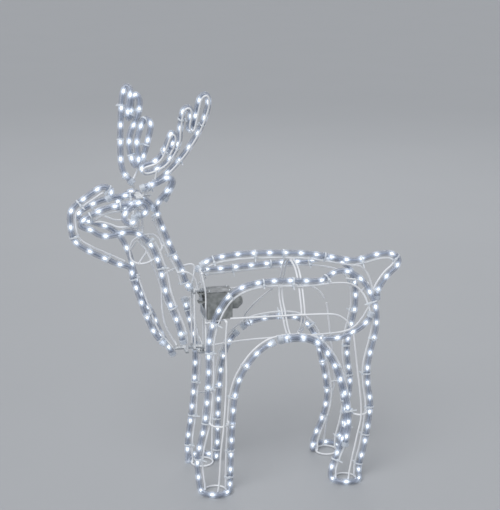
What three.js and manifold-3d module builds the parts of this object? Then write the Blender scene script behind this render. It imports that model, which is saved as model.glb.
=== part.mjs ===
// Standing yard reindeer: a white-coated steel wire frame lit by clear rope light,
// with a gear motor behind the chest that swings the neck and head from side to side.
// Units are millimetres. +X runs from nose to tail, +Z is up, the ground is z = 0.
// "near" is the -Y side and "far" is the +Y side.

import * as THREE from 'three';
import { mergeVertices } from 'three/addons/utils/BufferGeometryUtils.js';
import Module from 'manifold-3d';

const wasm = await Module();
wasm.setup();

// ---------------------------------------------------------------- driving dimensions
const WIRE_RADIUS = 1.7;        // coated frame wire
const ROPE_RADIUS = 5.2;        // clear rope light
const ROPE_LIE = 8.8;           // rope centre line to the wire it is tied to
const WELD_GAP = 0.35;          // air left between two welded nodes
const WIRE_SIDES = 6;
const ROPE_SIDES = 8;

const SIDE_Y = 60;              // plane of each side frame
const WAIST_Y = 82;             // widest line of the body
const WAIST_Z = 322;
const RAIL_Z = 373;             // rope along the top of each side
const FRONT_FOOT_X = -120;
const REAR_FOOT_X = 115;
const FOOT_ROPE_RADIUS = 26;    // rope bend round a foot
const FOOT_RING_RADIUS = 19.5;
const FOOT_ROPE_Z = 6.6;
const KNEE_Z = 130;             // height of the half hoops in the legs
const KNEE_REACH = 18.4;        // how far a half hoop bows outward
const RIB_X = 29;
const RIB_SPACING = 5.6;        // the rib hoop is two wires side by side

const POST_X = -125;            // chest posts that carry the motor and the neck
const POST_Y = 12;
const PIVOT_X = -130;           // vertical axis the neck swings about
const NECK_POST_X = -144.5;
const NECK_POST_Y = 14;
const SHAFT_RADIUS = 2.5;
const BORE_RADIUS = 2.58;
const ARM_LENGTH = 7;           // crank and neck lever, equal, so the link stays parallel
const CRANK_X = -106;

const FLANK_Y = 28;             // half width of the head and neck
const EYE_Y = 40;
const EYE_RADIUS = 16;
const ANTLER_FOOT_Y = 14;
const ANTLER_FOOT_Z = 540;
const ANTLER_LEAN = 0.2;        // outward lean, millimetres per millimetre of height

// ---------------------------------------------------------------- materials
function material(colour, roughness, metalness) {
  return new THREE.MeshStandardMaterial({ color: colour, roughness, metalness });
}

const COATED_WIRE = material(0xe9ebee, 0.35, 0.1);
const ROPE_CLEAR = material(0xdfe8f5, 0.2, 0);
const CAP_PLASTIC = material(0xf4f5f6, 0.4, 0);
const CASE_PLASTIC = material(0x9c9f96, 0.5, 0);
const LID_PLASTIC = material(0xa7aaa1, 0.45, 0);
const PLATED_STEEL = material(0xaab0b5, 0.3, 0.9);
const LINK_PLASTIC = material(0xd8d4c8, 0.5, 0);
const MOTOR_METAL = material(0x979a91, 0.45, 0.3);
const BLACK_PLASTIC = material(0x1d1e20, 0.5, 0);

const group = new THREE.Group();

// ---------------------------------------------------------------- curves
// A smooth line through guide points, reduced to the fewest vertices that hold its shape.
function smooth(guides) {
  const points = guides.map(([x, y, z]) => new THREE.Vector3(x, y, z));
  const curve = new THREE.CatmullRomCurve3(points, false, 'centripetal');
  const spacing = 2.5;
  return curve.getSpacedPoints(Math.max(4, Math.round(curve.getLength() / spacing)));
}

function thin(points, tolerance) {
  const first = points[0];
  const last = points[points.length - 1];
  const chord = new THREE.Line3(first, last);
  const nearest = new THREE.Vector3();
  let worst = 0;
  let at = 0;
  for (let i = 1; i < points.length - 1; i += 1) {
    chord.closestPointToPoint(points[i], true, nearest);
    const miss = nearest.distanceTo(points[i]);
    if (miss > worst) {
      worst = miss;
      at = i;
    }
  }
  if (worst <= tolerance) {
    return [first, last];
  }
  const head = thin(points.slice(0, at + 1), tolerance);
  return head.slice(0, -1).concat(thin(points.slice(at), tolerance));
}

// Guide points that hold a line closely enough to bend it again with others.
function thinGuides(points) {
  return thin(points, 0.3).map((p) => [p.x, p.y, p.z]);
}

// The line that lies `distance` to the left of another, seen with X right and Z up.
function beside(points, distance) {
  return points.map((point, i) => {
    const before = points[Math.max(0, i - 1)];
    const after = points[Math.min(points.length - 1, i + 1)];
    const dx = after.x - before.x;
    const dz = after.z - before.z;
    const length = Math.hypot(dx, dz);
    const x = point.x - dz / length * distance;
    const z = point.z + dx / length * distance;
    return new THREE.Vector3(x, point.y, z);
  });
}

// The stretch of a line between two fractions of its number of points.
function stretch(points, from, to) {
  const last = points.length - 1;
  return points.slice(Math.round(from * last), Math.round(to * last) + 1);
}

class Route extends THREE.Curve {
  constructor(vertices) {
    super();
    this.vertices = vertices;
  }

  getPointAt(u) {
    const last = this.vertices.length - 1;
    const i = Math.min(Math.floor(u * last + 1e-6), last - 1);
    return this.vertices[i].clone().lerp(this.vertices[i + 1], u * last - i);
  }

  getTangentAt(u) {
    const last = this.vertices.length - 1;
    const i = Math.round(u * last);
    const reached = Math.max(i, 1);
    const left = Math.min(i, last - 1);
    const arrive = this.vertices[reached].clone().sub(this.vertices[reached - 1]).normalize();
    const leave = this.vertices[left + 1].clone().sub(this.vertices[left]).normalize();
    return arrive.add(leave).normalize();
  }
}

function sweep(vertices, radius, sides) {
  const outline = new THREE.Shape();
  for (let i = 0; i < sides; i += 1) {
    const angle = (i + 0.5) / sides * 2 * Math.PI;
    const x = radius * Math.cos(angle);
    const y = radius * Math.sin(angle);
    if (i === 0) {
      outline.moveTo(x, y);
    } else {
      outline.lineTo(x, y);
    }
  }
  outline.closePath();
  return new THREE.ExtrudeGeometry(outline, {
    steps: vertices.length - 1,
    bevelEnabled: false,
    extrudePath: new Route(vertices),
  });
}

function wire(points, tolerance = 0.9) {
  return sweep(thin(points, tolerance), WIRE_RADIUS, WIRE_SIDES);
}

function rope(points, tolerance = 1.2) {
  return sweep(thin(points, tolerance), ROPE_RADIUS, ROPE_SIDES);
}

function straight(from, to) {
  return wire([new THREE.Vector3(...from), new THREE.Vector3(...to)]);
}

// ---------------------------------------------------------------- solids
function solid(geometry) {
  const bare = new THREE.BufferGeometry();
  bare.setAttribute('position', geometry.getAttribute('position').clone());
  if (geometry.index) {
    bare.setIndex(geometry.index.clone());
  }
  const merged = mergeVertices(bare, 1e-4);
  const mesh = new wasm.Mesh({
    numProp: 3,
    vertProperties: new Float32Array(merged.getAttribute('position').array),
    triVerts: new Uint32Array(merged.index.array),
  });
  return new wasm.Manifold(mesh);
}

function surface(body) {
  const mesh = body.getMesh();
  const geometry = new THREE.BufferGeometry();
  geometry.setAttribute('position', new THREE.BufferAttribute(new Float32Array(mesh.vertProperties), 3));
  geometry.setIndex(new THREE.BufferAttribute(new Uint32Array(mesh.triVerts), 1));
  const flat = geometry.toNonIndexed();
  flat.computeVertexNormals();
  return flat;
}

function join(...geometries) {
  let body = solid(geometries[0]);
  for (const extra of geometries.slice(1)) {
    body = body.add(solid(extra));
  }
  return surface(body);
}

function cut(geometry, ...tools) {
  let body = solid(geometry);
  for (const tool of tools) {
    body = body.subtract(solid(tool));
  }
  return surface(body);
}

function box(x0, x1, y0, y1, z0, z1) {
  const geometry = new THREE.BoxGeometry(x1 - x0, y1 - y0, z1 - z0);
  geometry.translate((x0 + x1) / 2, (y0 + y1) / 2, (z0 + z1) / 2);
  return geometry;
}

// A round bar that stands on z0 and ends at z1.
function bar(x, y, z0, z1, radius, sides = 16) {
  const geometry = new THREE.CylinderGeometry(radius, radius, z1 - z0, sides);
  geometry.rotateX(Math.PI / 2);
  geometry.translate(x, y, (z0 + z1) / 2);
  return geometry;
}

function add(name, geometry, look) {
  const mesh = new THREE.Mesh(geometry, look);
  mesh.name = name;
  group.add(mesh);
}

// ---------------------------------------------------------------- rope routes of the body
// Guide points are [x, z] in a side plane, or [x, y, z] where the line leaves it.
function inPlane(guides, y) {
  return guides.map((guide) => (guide.length === 3 ? guide : [guide[0], y, guide[1]]));
}

function footBend(footX, side) {
  const guides = [];
  for (const degrees of [0, 30, 60, 90, 120, 150, 180]) {
    const angle = THREE.MathUtils.degToRad(degrees);
    const x = footX - FOOT_ROPE_RADIUS * Math.cos(angle);
    const y = side * (SIDE_Y + FOOT_ROPE_RADIUS * Math.sin(angle));
    guides.push([x, y, FOOT_ROPE_Z]);
  }
  return guides;
}

const FORE_EDGE_NEAR = [[-70, 370], [-95, 355], [-113, 330], [-125, 298], [-130, 265], [-130, 220],
  [-134, 170], [-138, 125], [-146, 93], [-151, 60], [-148, 24]];
const FORE_EDGE_FAR = [[-149, 318], [-143, 288], [-134, 250], [-131, 220], [-131, 185],
  [-136, 140], [-139, 98], [-145, 60], [-147, 24]];
const ARCH_FORE_NEAR = [[-93, 24], [-92, 60], [-90, 100], [-88, 140], [-85, 175], [-78, 203], [-66, 226],
  [-48, 249], [-28, 264], [-16, 268.4]];
const ARCH_FORE_FAR = [[-93, 24], [-92, 60], [-90, 100], [-88, 140], [-85, 175], [-80, 203], [-71, 227],
  [-63, 239.5], [-54.5, 249]];
const ARCH_TOP_NEAR = [[-8, 270.2], [0, 271]];
const ARCH_TOP_FAR = [[-46, 256.2], [-30, 265.2], [0, 271]];
const ARCH_HIND_NEAR = [[34, 270], [57, 262], [76, 242], [91, 217], [102, 187], [109, 154], [114, 122],
  [112, 92], [104, 62], [94, 36], [89.5, 22]];
const ARCH_HIND_FAR = [[34, 271], [56, 266.5], [75, 253], [88.5, 232], [97.5, 205], [103, 182], [108.5, 154],
  [114, 122], [112, 92], [104, 62], [94, 36], [89.5, 22]];
const HIND_EDGE = [[140.5, 22], [146, 45], [151, 75], [154, 106], [158, 138], [152, 178], [151, 215],
  [158, 252], [164, 284], [163, 312]];
const RAIL_NEAR = [[50, RAIL_Z], [20, RAIL_Z + 1], [-10, RAIL_Z + 4], [-42, RAIL_Z + 3]];
const RAIL_FAR = [[50, RAIL_Z - 1], [19, RAIL_Z - 1], [-15, RAIL_Z - 2], [-46, RAIL_Z - 3], [-76, RAIL_Z - 5]];

function rump(side) {
  return [[160, side * 55, 328], [152, side * 48, 347], [143, side * 43, 361], [130, side * 40, 372],
    [116, side * 39, 379], [100, side * 41, 381], [80, side * 49, 377], [66, side * 57, 372]];
}

// From the top of the arch down the rear leg, round its foot, up its back edge and over the rump.
function hindRoute(arch, side) {
  const y = side * SIDE_Y;
  return [...inPlane(arch, y), ...footBend(REAR_FOOT_X, side), ...inPlane(HIND_EDGE, y), ...rump(side)];
}

// Down the front edge of the front leg, round its foot and up to the front end of the arch.
function foreRoute(edge, archFore, side) {
  const y = side * SIDE_Y;
  return [...inPlane(edge, y), ...footBend(FRONT_FOOT_X, side), ...inPlane(archFore, y)];
}

// The near rope goes right round its side, and its two ends nearly meet on top of the arch.
const sideNear = [...hindRoute([...ARCH_TOP_NEAR, ...ARCH_HIND_NEAR], -1), ...inPlane(RAIL_NEAR, -SIDE_Y),
  ...foreRoute(FORE_EDGE_NEAR, ARCH_FORE_NEAR, -1)];
const sideFar = [...hindRoute([...ARCH_TOP_FAR, ...ARCH_HIND_FAR], 1), ...inPlane(RAIL_FAR, SIDE_Y),
  [-105, 54, 370], [-121, 38, 375], [-131, 21, 382]];

add('rope_side_near', rope(smooth(sideNear)), ROPE_CLEAR);
add('rope_side_far', rope(smooth(sideFar)), ROPE_CLEAR);
add('rope_fore_far', rope(smooth(foreRoute(FORE_EDGE_FAR, ARCH_FORE_FAR, 1))), ROPE_CLEAR);

const SPINE_LINE = smooth(inPlane([[-130, 394], [-116, 402], [-85, 408], [-50, 410], [-15, 408], [30, 406],
  [65, 402], [98, 395], [120, 389], [142, 386], [167, 391], [192, 395], [210, 393], [221, 383], [219, 371],
  [205, 358], [193, 342], [185, 327], [184, 312]], 0));
add('rope_spine', rope(SPINE_LINE), ROPE_CLEAR);

add('rope_haunch', rope(smooth([[56, -49.2, 264], [70, -50.5, 265], [83, -56, 266], [96, -62, 268.5],
  [110, -64, 273], [131, -66, 284], [147, -67.5, 299], [152, -67.5, 311]])), ROPE_CLEAR);

// A second rope beside the near arch, from the top of the belly down the rear leg.
const THIGH = [[-11.5, 277.6], [0, 279.2], [10, 279.7], [24, 279], [40, 275.5], [58, 265.5], [74, 247.5],
  [88, 222], [99, 196], [108, 167], [114, 135], [115, 104], [110, 70]];
add('rope_thigh_near', rope(smooth(inPlane(THIGH, -SIDE_Y - 11))), ROPE_CLEAR);

// ---------------------------------------------------------------- body frame
const SIDES = [['near', -1], ['far', 1]];

function leg(guides, side, distance) {
  return beside(smooth(inPlane(guides, side * SIDE_Y)), distance);
}

for (const [label, side] of SIDES) {
  const y = side * SIDE_Y;

  // Arch wire: up the back of the front leg, over the belly and down the front of the rear leg.
  const span = side < 0
    ? [...ARCH_FORE_NEAR, ...ARCH_TOP_NEAR, ...ARCH_HIND_NEAR]
    : [...ARCH_FORE_FAR, ...ARCH_TOP_FAR, ...ARCH_HIND_FAR];
  const arch = [[-93, 5], ...span, [89.5, 5]];
  add(`arch_wire_${label}`, wire(leg(arch, side, ROPE_LIE)), COATED_WIRE);

  // Rail wire: along the top, over the rump and down the back of the rear leg.
  const hind = leg([[140.5, 5], ...HIND_EDGE.slice(0, -1)], side, ROPE_LIE);
  const rail = [[152, side * 54, 316], [145, side * 47, 336], [134, side * 44, 350], [118, side * 46, 359],
    [90, side * 53, 364], [60, y, RAIL_Z - 8]];
  const hindGuides = thinGuides(hind);
  if (side < 0) {
    const foreGuides = thinGuides(leg([...RAIL_NEAR, ...FORE_EDGE_NEAR, [-146, 5]], side, ROPE_LIE));
    add('side_wire_near', wire(smooth([...hindGuides, ...rail, ...foreGuides])), COATED_WIRE);
  } else {
    const foreGuides = [[19, y, RAIL_Z - 9], [-46, y, RAIL_Z - 11], [-80, y, RAIL_Z - 13],
      [-106, 53, 361], [-119, 36, 365], [-127.5, 17, 369]];
    add('side_wire_far', wire(smooth([...hindGuides, ...rail, ...foreGuides])), COATED_WIRE);
    const edge = thinGuides(leg([...FORE_EDGE_FAR, [-146, 5]], side, ROPE_LIE));
    const shoulder = [[-112, 51, 356.5], [-126, 54, 342], [-137, 59, 318]];
    add('fore_wire_far', wire(smooth([...shoulder, ...edge])), COATED_WIRE);
  }

  // Waist wire: joins the outer leg wires at the widest line of the body.
  const waist = [[-97, WAIST_Z + 2], [-64, WAIST_Z + 1], [5, WAIST_Z], [60, WAIST_Z - 2], [86, WAIST_Z - 5],
    [103, WAIST_Z - 16], [112, WAIST_Z - 30]];
  add(`waist_wire_${label}`, wire(smooth(inPlane(waist, side * WAIST_Y))), COATED_WIRE);

  // Leg cages: foot ring, outer leg wire and knee half hoop.
  const cages = [
    ['front', FRONT_FOOT_X, [[-117, 79, 24], [-114, 82, 83], [-109, 82, KNEE_Z], [-104, 82, 216],
      [-105, 82, 285], [-103, 82, 317]], -112.8, 16.4],
    ['rear', REAR_FOOT_X, [[117, 79, 24], [128, 82, 91], [134.5, 82, KNEE_Z], [124, 82, 226],
      [116.5, 82, 283]], 135.2, 14.2],
  ];
  for (const [end, footX, outer, kneeX, kneeHalf] of cages) {
    const ring = new THREE.TorusGeometry(FOOT_RING_RADIUS, WIRE_RADIUS, WIRE_SIDES, 18);
    const ringZ = WIRE_RADIUS * Math.cos(Math.PI / WIRE_SIDES);
    ring.translate(footX, y, ringZ);
    const foot = [footX, side * (SIDE_Y + 18.4), ringZ];
    const rise = wire(smooth([foot, ...outer.map(([x, w, z]) => [x, side * w, z])]));
    const kneeY = SIDE_Y + WIRE_RADIUS + 2 * WELD_GAP;
    const knee = [];
    for (const degrees of [0, 45, 90, 135, 180]) {
      const angle = THREE.MathUtils.degToRad(degrees);
      const bow = KNEE_REACH * Math.sin(angle);
      knee.push([kneeX - kneeHalf * Math.cos(angle), side * (kneeY + bow), KNEE_Z]);
    }
    add(`leg_cage_${end}_${label}`, join(ring, rise, wire(smooth(knee))), COATED_WIRE);
  }
}

// Spine wire with the rump line and the tail loop.
const tailLoop = stretch(beside(SPINE_LINE, -ROPE_LIE), 0.62, 0.965);
const spineFront = thinGuides(stretch(beside(SPINE_LINE, -ROPE_LIE), 0.02, 0.615));
const rumpLine = [[152, 0, 374], [163, 0, 363], [170, 0, 349], [175, 0, 330], [175, 0, 309]];
add('spine_wire', join(
  wire(smooth([...spineFront, ...rumpLine])),
  wire([new THREE.Vector3(150, 0, 375.5), ...tailLoop, new THREE.Vector3(174.8, 0, 322)]),
), COATED_WIRE);

// Belly wire closes the middle plane from the chest posts to the rump.
add('belly_wire', wire(smooth(inPlane([[-119, 249], [-84, 252], [-45, 254], [29, 254], [90, 254], [124, 256],
  [143, 263], [159, 281], [172, 304]], 0))), COATED_WIRE);

// Rib hoop: two ovals side by side, held by short links.
function ribHalf(x, side) {
  const guides = [[-1, 393], [30, 388], [49, 373], [65, 349], [77, 320], [72, 298], [56, 282.5], [45, 270],
    [26, 255], [-1, 250]];
  return wire(smooth(guides.map(([y, z]) => [x, side * y, z])));
}
const ribs = [];
for (const x of [RIB_X - RIB_SPACING / 2, RIB_X + RIB_SPACING / 2]) {
  ribs.push(ribHalf(x, -1), ribHalf(x, 1));
}
for (const [y, z] of [[0, 393], [-77, 320], [77, 320], [0, 250]]) {
  ribs.push(straight([RIB_X - RIB_SPACING / 2, y, z], [RIB_X + RIB_SPACING / 2, y, z]));
}
add('rib_hoop', join(...ribs), COATED_WIRE);

// Rump hoop ties the two rail wires to the rump line.
add('rump_hoop', wire(smooth([[139, -40, 341], [150, -28, 342], [163, -10, 343], [166, 0, 343], [163, 10, 343],
  [150, 28, 342], [139, 40, 341]])), COATED_WIRE);

// Chest posts with their cross bars.
const posts = SIDES.map(([, side]) => wire(smooth([[POST_X, side * POST_Y, 243], [POST_X, side * POST_Y, 300],
  [POST_X, side * POST_Y, 350], [-129, side * 11, 372], [-131, side * 9, 385]])));
add('chest_posts', join(
  ...posts,
  straight([-130.6, -10, 383], [-130.6, 10, 383]),
  wire(smooth([[-123, -57.2, 243], [POST_X, -POST_Y, 243], [POST_X, POST_Y, 243], [-123, 57.2, 243]])),
), COATED_WIRE);

for (const [label, side] of SIDES) {
  add(`chest_stay_${label}`, wire(smooth([
    [-104.5, side * 79.6, WAIST_Z - 2], [-103.5, side * 60, 315], [-111, side * 36, 305],
    [POST_X, side * (POST_Y + 2 * WIRE_RADIUS + WELD_GAP), 295],
  ])), COATED_WIRE);
}

// Brace wire across the body, from the near rail behind the motor to the far arch.
add('motor_brace', wire(smooth([[-18, -52, 362], [-29, -37, 346], [-39, -20, 329.7], [-45.7, 8, 305.6],
  [-47.8, 24, 293.1], [-45.4, 40, 280.1], [-42.3, 57.6, 269.4]])), COATED_WIRE);

// ---------------------------------------------------------------- motor unit
const CASE = { x0: -122.6, x1: -79, y: 16, z0: 301, z1: 348, wall: 2 };
const CAN_RADIUS = 13.3;
const CAN_Z = 327;
const CAN_SHOULDER_X = -67.5;
const CAN_TIP_X = -59;
const CAN_TIP_RADIUS = 6;
const TONGUE_TOP_Z = 344;
const TONGUE_LOW_Z = 331;
const GLAND_X = -100.5;

function alongX(x0, x1, y, z, radius, sides) {
  const geometry = new THREE.CylinderGeometry(radius, radius, x1 - x0, sides);
  geometry.rotateZ(Math.PI / 2);
  geometry.translate((x0 + x1) / 2, y, z);
  return geometry;
}

const { x0, x1, y: caseY, z0, z1, wall } = CASE;
const shell = cut(
  join(
    box(x0, x1, -caseY, caseY, z0, z1),
    box(x0 - 13.5, x0 + 0.5, -7, 7, TONGUE_TOP_Z, TONGUE_TOP_Z + 2.4),
    box(x0 - 13.5, x0 + 0.5, -7, 7, TONGUE_LOW_Z - 2.4, TONGUE_LOW_Z),
  ),
  box(x0 + wall, x1 - wall, -caseY + wall, caseY - wall, z0 + wall, z1 + 1),
  bar(PIVOT_X, 0, TONGUE_LOW_Z - 4, TONGUE_TOP_Z + 4, BORE_RADIUS, 24),
  box(x0 - 1, x0 + wall + 1, 3.2, 10.4, 336.6, 343),
  alongX(x1 - wall - 1, x1 + 1, 0, CAN_Z, CAN_RADIUS + 0.4, 24),
  bar(GLAND_X, 0, z0 - 1, z0 + wall + 1, 3.4, 16),
);
add('motor_case', shell, CASE_PLASTIC);

add('motor_lid', join(
  box(x0 - 0.4, x1 + 0.4, -caseY - 0.4, caseY + 0.4, z1 + 0.3, z1 + 2.3),
  box(x0 + wall + 0.3, x1 - wall - 0.3, -caseY + wall + 0.3, caseY - wall - 0.3, z1 - 1.2, z1 + 0.5),
), LID_PLASTIC);

add('gear_motor', join(
  box(-113, x1 - wall - 0.4, -13.3, 13.3, 306.5, 329),
  box(-98, x1 - wall - 0.4, -13.3, 13.3, 328, 340),
  alongX(x1 - wall - 1, CAN_SHOULDER_X, 0, CAN_Z, CAN_RADIUS, 24),
  (() => {
    const tip = new THREE.CylinderGeometry(CAN_RADIUS, CAN_TIP_RADIUS, CAN_TIP_X - CAN_SHOULDER_X, 24);
    tip.rotateZ(Math.PI / 2);
    tip.translate((CAN_SHOULDER_X + CAN_TIP_X) / 2, 0, CAN_Z);
    return tip;
  })(),
), MOTOR_METAL);

// Crank on the gear motor, link, and the lever on the neck shaft: a parallelogram.
const ARM_Z = 334;
const ARM_THICK = 4;
const PIN_RADIUS = 1.5;
const PIN_BORE = 1.58;

add('crank', join(
  bar(CRANK_X, 0, 329.4, ARM_Z + ARM_THICK, SHAFT_RADIUS),
  bar(CRANK_X, 0, ARM_Z, ARM_Z + ARM_THICK, 4.4, 20),
  box(CRANK_X - 3, CRANK_X + 3, 0, ARM_LENGTH, ARM_Z, ARM_Z + ARM_THICK),
  bar(CRANK_X, ARM_LENGTH, ARM_Z, ARM_Z + ARM_THICK, 3, 16),
  bar(CRANK_X, ARM_LENGTH, ARM_Z + 1, 342.5, PIN_RADIUS, 24),
), PLATED_STEEL);

const LINK_Z = ARM_Z + ARM_THICK + 0.4;
add('link_rod', cut(
  join(
    box(PIVOT_X, CRANK_X, ARM_LENGTH - 1.6, ARM_LENGTH + 1.6, LINK_Z, LINK_Z + 3),
    bar(PIVOT_X, ARM_LENGTH, LINK_Z, LINK_Z + 3, 2.9, 16),
    bar(CRANK_X, ARM_LENGTH, LINK_Z, LINK_Z + 3, 2.9, 16),
  ),
  bar(PIVOT_X, ARM_LENGTH, LINK_Z - 1, LINK_Z + 4, PIN_BORE, 24),
  bar(CRANK_X, ARM_LENGTH, LINK_Z - 1, LINK_Z + 4, PIN_BORE, 24),
), LINK_PLASTIC);

add('neck_shaft', join(
  bar(PIVOT_X, 0, TONGUE_LOW_Z - 3, 351.4, SHAFT_RADIUS, 24),
  bar(PIVOT_X, 0, TONGUE_LOW_Z + 0.4, ARM_Z + ARM_THICK, 4.6, 20),
  box(PIVOT_X - 3, PIVOT_X + 3, 0, ARM_LENGTH, ARM_Z, ARM_Z + ARM_THICK),
  bar(PIVOT_X, ARM_LENGTH, ARM_Z, ARM_Z + ARM_THICK, 3, 16),
  bar(PIVOT_X, ARM_LENGTH, ARM_Z + 1, 342.5, PIN_RADIUS, 24),
), PLATED_STEEL);

// Clip that holds the case to the chest posts.
add('post_clip', join(
  box(POST_X - 3.8, POST_X - 2.1, -17, 17, 306, 322),
  box(POST_X - 3, x0 - 0.35, -8.5, 8.5, 306, 322),
), PLATED_STEEL);

// Gland where the supply lead enters the case.
add('cable_gland', cut(
  join(
    bar(GLAND_X, 0, z0 - 9, z0 - 0.3, 5, 6),
    bar(GLAND_X, 0, z0 - 13, z0 - 8, 3.6, 16),
    bar(GLAND_X, 0, z0 - 1, z0 + 3, 3.1, 16),
  ),
  bar(GLAND_X, 0, z0 - 14, z0 + 4, 1.9, 12),
), BLACK_PLASTIC);

// ---------------------------------------------------------------- hinge plates
add('hinge_plate', cut(
  box(PIVOT_X - 7, POST_X + 5, -8.5, 8.5, 238.4, 240.9),
  bar(PIVOT_X, 0, 237, 243, BORE_RADIUS, 24),
), PLATED_STEEL);

add('neck_bracket_top', cut(
  join(
    box(NECK_POST_X - 2.5, NECK_POST_X + 2.5, -16, NECK_POST_Y - WIRE_RADIUS - WELD_GAP, 349.6, 352.2),
    box(NECK_POST_X, PIVOT_X + 4.6, -6, 6, 349.6, 352.2),
  ),
  bar(PIVOT_X, 0, 349, 353, SHAFT_RADIUS + WELD_GAP, 24),
), PLATED_STEEL);

add('neck_bracket_bottom', join(
  box(-178, PIVOT_X + 5, -5, 5, 247.4, 250),
  bar(PIVOT_X, 0, 236, 248, SHAFT_RADIUS, 24),
  box(NECK_POST_X - 2.5, NECK_POST_X + 2.5, -16, 16, 247.4, 250),
  box(-162.5, -157.5, -26, 26, 247.4, 250),
), PLATED_STEEL);

// ---------------------------------------------------------------- neck frame
const CORE_Z = 250.4;
add('neck_post_near', wire(smooth([[NECK_POST_X, -NECK_POST_Y, CORE_Z], [NECK_POST_X, -NECK_POST_Y, 300],
  [NECK_POST_X, -NECK_POST_Y, 349.2]])), COATED_WIRE);
add('neck_hoop_far', wire(smooth([[NECK_POST_X, NECK_POST_Y, CORE_Z], [NECK_POST_X, NECK_POST_Y, 300],
  [NECK_POST_X, NECK_POST_Y, 350], [-140, 13, 380], [-140, 12, 391], [-147, 12, 394], [-158, 12, 391],
  [-178, 12, 385], [-191, 13, 378], [-196, 14, 342], [-192, 14, 292], [-183, 14, 270], [-174, 12, 254],
  [-172, 9, CORE_Z]])), COATED_WIRE);

const NAPE = [[-206, -12, 503], [-200, -2, 478], [-194, 0, 463], [-186, 0, 442], [-174, 0, 412], [-164, 0, 392],
  [-155, 0, 364], [-149, 0, 354]];
const NECK_NEAR = [[-236, 461], [-219, 443], [-209, 418], [-200, 387], [-195, 358], [-184, 326], [-174, 297],
  [-167, 267]];
const THROAT = [[-251, 398], [-246, 378], [-240, 360], [-227, 322], [-220, 298], [-208, 273], [-195, 258]];

const nape = smooth(NAPE);
const neckNear = smooth(inPlane(NECK_NEAR, -FLANK_Y));
const throat = smooth(inPlane(THROAT, 0));

add('nape_wire', wire(stretch(beside(nape, -ROPE_LIE), 0.16, 0.9)), COATED_WIRE);
add('throat_wire', wire([
  ...stretch(beside(throat, ROPE_LIE), 0.1, 0.9),
  new THREE.Vector3(-181, 0, 251),
]), COATED_WIRE);
add('neck_wire_near', wire([
  ...stretch(beside(neckNear, ROPE_LIE), 0.12, 0.97),
  new THREE.Vector3(-159.5, -24, 252),
]), COATED_WIRE);
add('neck_wire_far', wire(smooth([[-232, 24, 441], [-219, 26, 424], [-211, 27, 398], [-201, 27, 372],
  [-193, 27, 340], [-178, 27, 300], [-165, 26, 270], [-160, 23, 252]])), COATED_WIRE);

// Brace from the nape wire down to the top hinge plate.
add('neck_brace', wire(smooth([[-169, -4, 385], [-161, -10, 388], [-149, -9, 382], [-140, -6.5, 369],
  [-136.5, -4.5, 353.1]])), COATED_WIRE);

// Ring at the top of the neck, with the bent wires that steady it.
const RING_NEAR = [[-250, 1, 423], [-250, -2, 418], [-247, -6, 411], [-234, -15, 408], [-218, -19.5, 413],
  [-206, -14, 420], [-198, -5, 428], [-195.8, 1, 431.5]];
const RING_FAR = [[-250, -1, 419.5], [-250, 4, 428], [-243, 12, 441], [-225, 19.5, 447], [-208, 19.5, 447.5],
  [-200, 14, 443], [-196.5, 5, 435], [-195.8, -1, 430.5]];
const RING_DIAMOND = [[-250, 3, 427], [-238, -10, 447], [-224, -13, 429], [-237, -14, 408.8]];
add('neck_ring', join(
  wire(smooth(RING_NEAR)),
  wire(smooth(RING_FAR)),
  wire(RING_DIAMOND.map((point) => new THREE.Vector3(...point))),
  straight([-224, -13, 429], [-217, -19, 413.4]),
  straight([-214, 19.5, 447.4], [-222, 17, 434]),
), COATED_WIRE);

// ---------------------------------------------------------------- head frame
const PROFILE = [[-285, 517], [-279, 523], [-279, 532], [-288, 538], [-298, 536], [-308, 529], [-320, 521],
  [-334, 512], [-344, 502], [-347, 488], [-346, 470], [-342, 452], [-334, 442], [-316, 430], [-303, 424],
  [-290, 417], [-277, 409], [-265, 403]];
const profile = smooth(inPlane([...PROFILE, [-254, 398]], 0));
add('head_profile_wire', wire(stretch(beside(profile, ROPE_LIE), 0.14, 0.965)), COATED_WIRE);

const FACE_TOP = [[-239, 515], [-255, 514], [-268, 512], [-281, 511], [-294, 508], [-304, 502], [-317, 498],
  [-328, 491]];
for (const [label, side] of SIDES) {
  const y = side * (FLANK_Y - 4);
  const loop = [[-242, 504], [-268, 502], [-292, 498], [-306, 492], [-312, 487], [-299, 486], [-284, 481],
    [-272, 475.5], [-256, 474.5], [-243, 473]];
  const uprights = [
    straight([-239.5, y, 469], [-239.5, y, 507]),
    wire([[y, 464], [y, 504], [y - side * 8, 518.3]].map(([w, z]) => new THREE.Vector3(-231.5, w, z))),
  ];
  const eyeStay = straight([-249, side * 23, 473.5], [-251, side * 41.2, 478.2]);
  const cross = straight([-244, y, 504], [-229, y, 504]);
  const rung = straight([-245, y, 473], [-229.5, y, 473]);
  const cheek = wire(smooth(inPlane(loop, y)));
  add(`head_side_wire_${label}`, join(cheek, ...uprights, cross, rung, eyeStay), COATED_WIRE);
}

// Crown bar: the cross piece the antlers stand on.
add('crown_bar', join(
  box(-239, -214, -4.5, 4.5, 519.4, 521.6),
  box(-240, -228.5, -24, 24, 519.4, 521.6),
), PLATED_STEEL);

// ---------------------------------------------------------------- head and neck ropes
const ear = [[-233, -29, 539], [-220, -30, 544], [-204, -33, 550], [-190, -33.5, 556], [-184, -33, 549],
  [-189, -30, 536], [-199, -24, 521]];
add('rope_ear_nape', rope(smooth([...ear, ...NAPE])), ROPE_CLEAR);
add('rope_ear_far', rope(smooth([[-219, 27, 526], [-206, 28, 530], [-191, 29, 536], [-177, 30, 541],
  [-171, 30, 534], [-176, 29, 521], [-187, 26, 504]])), ROPE_CLEAR);

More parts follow.
